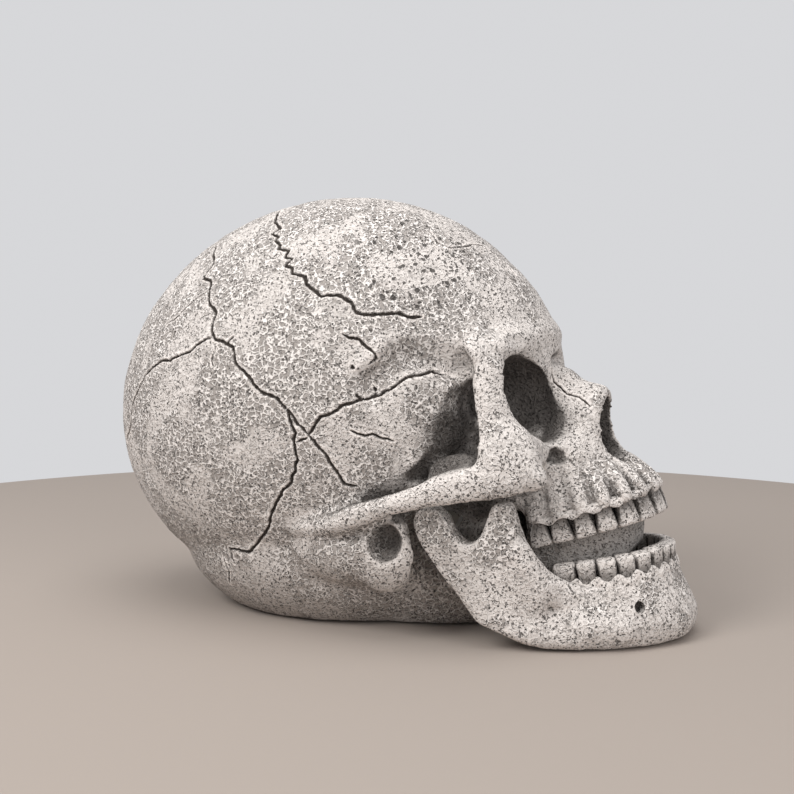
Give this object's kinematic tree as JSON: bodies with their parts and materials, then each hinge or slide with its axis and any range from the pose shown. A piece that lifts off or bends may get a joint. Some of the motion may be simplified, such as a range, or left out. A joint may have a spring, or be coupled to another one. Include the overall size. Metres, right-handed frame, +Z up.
{
  "type": "halloween skull decoration",
  "caption": "Large stone-look skull ornament that stands on its own base, with a hinged lower jaw held ajar by a block behind the teeth.",
  "frame": {"origin": "middle of the bounding box at floor level, on the mid plane", "axes": "+X where the face looks, +Y the skull's left, +Z up"},
  "size_m": [0.3619, 0.2, 0.2496],
  "materials": {
    "stone_finish": "moulded pits and cracks, painted as weathered stone",
    "grey_finish": "plain moulded, painted grey",
    "nylon": "moulded",
    "steel": "zinc plated",
    "rubber": "matte"
  },
  "bodies": {
    "skull": {"skull_right_half": "stone_finish", "skull_left_half": "stone_finish", "upper_tooth_row": "stone_finish", "mouth_block": "grey_finish", "base_plate": "grey_finish", "pivot_bush_right": "nylon", "pivot_bush_left": "nylon", "seam_dowel_crown": "nylon", "seam_dowel_rear": "nylon", "seam_dowel_brow": "nylon", "base_screw_front_left": "steel", "base_screw_front_right": "steel", "base_screw_rear_left": "steel", "base_screw_rear_right": "steel", "rubber_foot_front": "rubber", "rubber_foot_rear_left": "rubber", "rubber_foot_rear_right": "rubber", "mouth_block_screw_left": "steel", "mouth_block_screw_right": "steel"},
    "jaw": {"lower_jaw": "stone_finish", "lower_tooth_row": "stone_finish", "jaw_pivot_screw_right": "steel", "jaw_pivot_screw_left": "steel", "pivot_washer_right": "steel", "pivot_washer_left": "steel"}
  },
  "joints": [
    {"name": "jaw_drop", "type": "hinge", "parent": "skull", "child": "jaw", "pos_m": [0.053, 0, 0.066], "axis": [0, 1, 0], "range_deg": [0, 14]}
  ]
}
